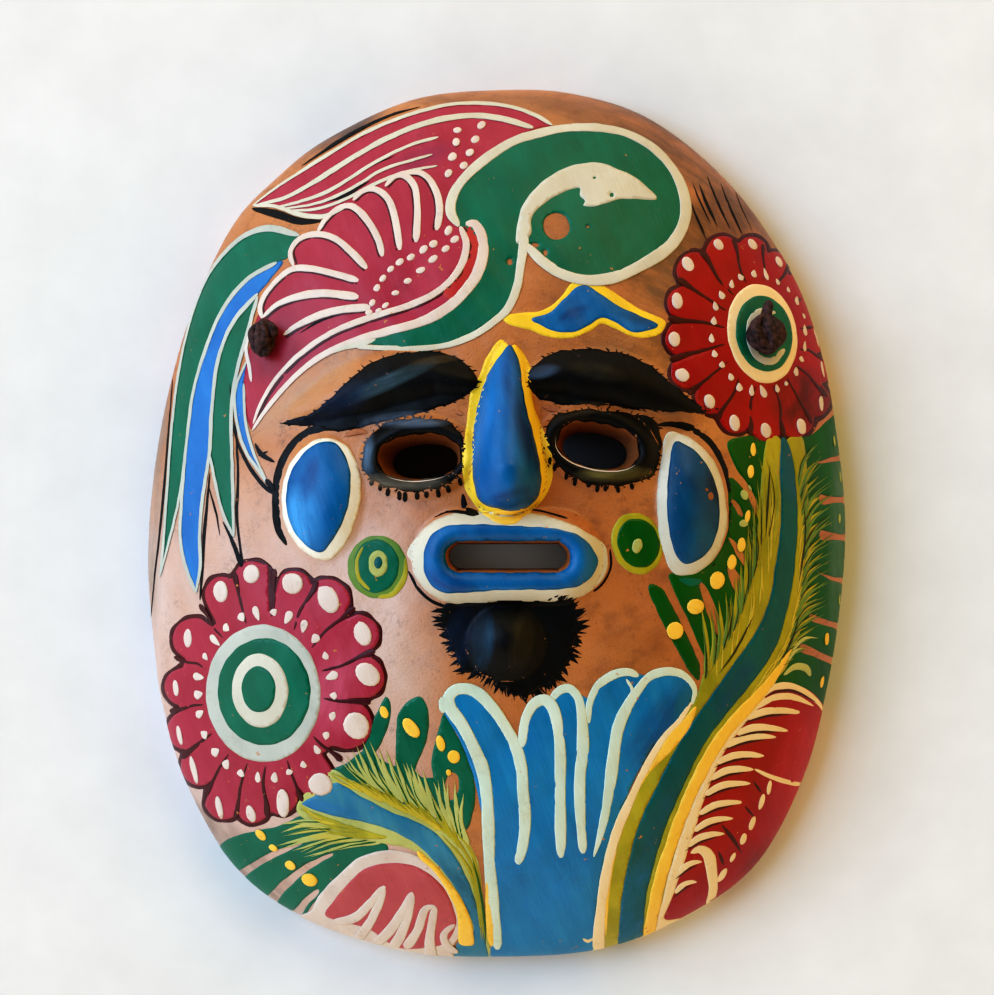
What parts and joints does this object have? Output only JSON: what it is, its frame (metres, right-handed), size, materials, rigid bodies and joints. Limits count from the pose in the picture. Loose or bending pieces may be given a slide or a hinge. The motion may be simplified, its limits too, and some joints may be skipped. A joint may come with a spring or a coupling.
{
  "type": "painted terracotta face mask",
  "caption": "Hollow fired-clay folk mask with eye and mouth openings, painted bird, flowers and fern fronds, and a knotted lace for hanging.",
  "frame": {"origin": "middle of the back rim, in the plane the rim rests on", "axes": "+Z out of the face, +Y towards the forehead, +X towards the viewer's right"},
  "size_m": [0.1642, 0.2041, 0.0562],
  "materials": {
    "terracotta": "fired clay under a thin satin lacquer",
    "white_paint": "thick cream-white brush paint, satin",
    "crimson_paint": "crimson brush paint, satin",
    "green_paint": "deep green brush paint, satin",
    "blue_paint": "bright blue brush paint, satin",
    "yellow_paint": "yellow brush paint, satin",
    "black_paint": "black brush paint, glossy",
    "lace": "dark worn leather lace"
  },
  "bodies": {
    "root": {"mask_shell": "terracotta", "knot_left": "lace", "knot_right": "lace", "hanging_cord": "lace"}
  },
  "joints": []
}
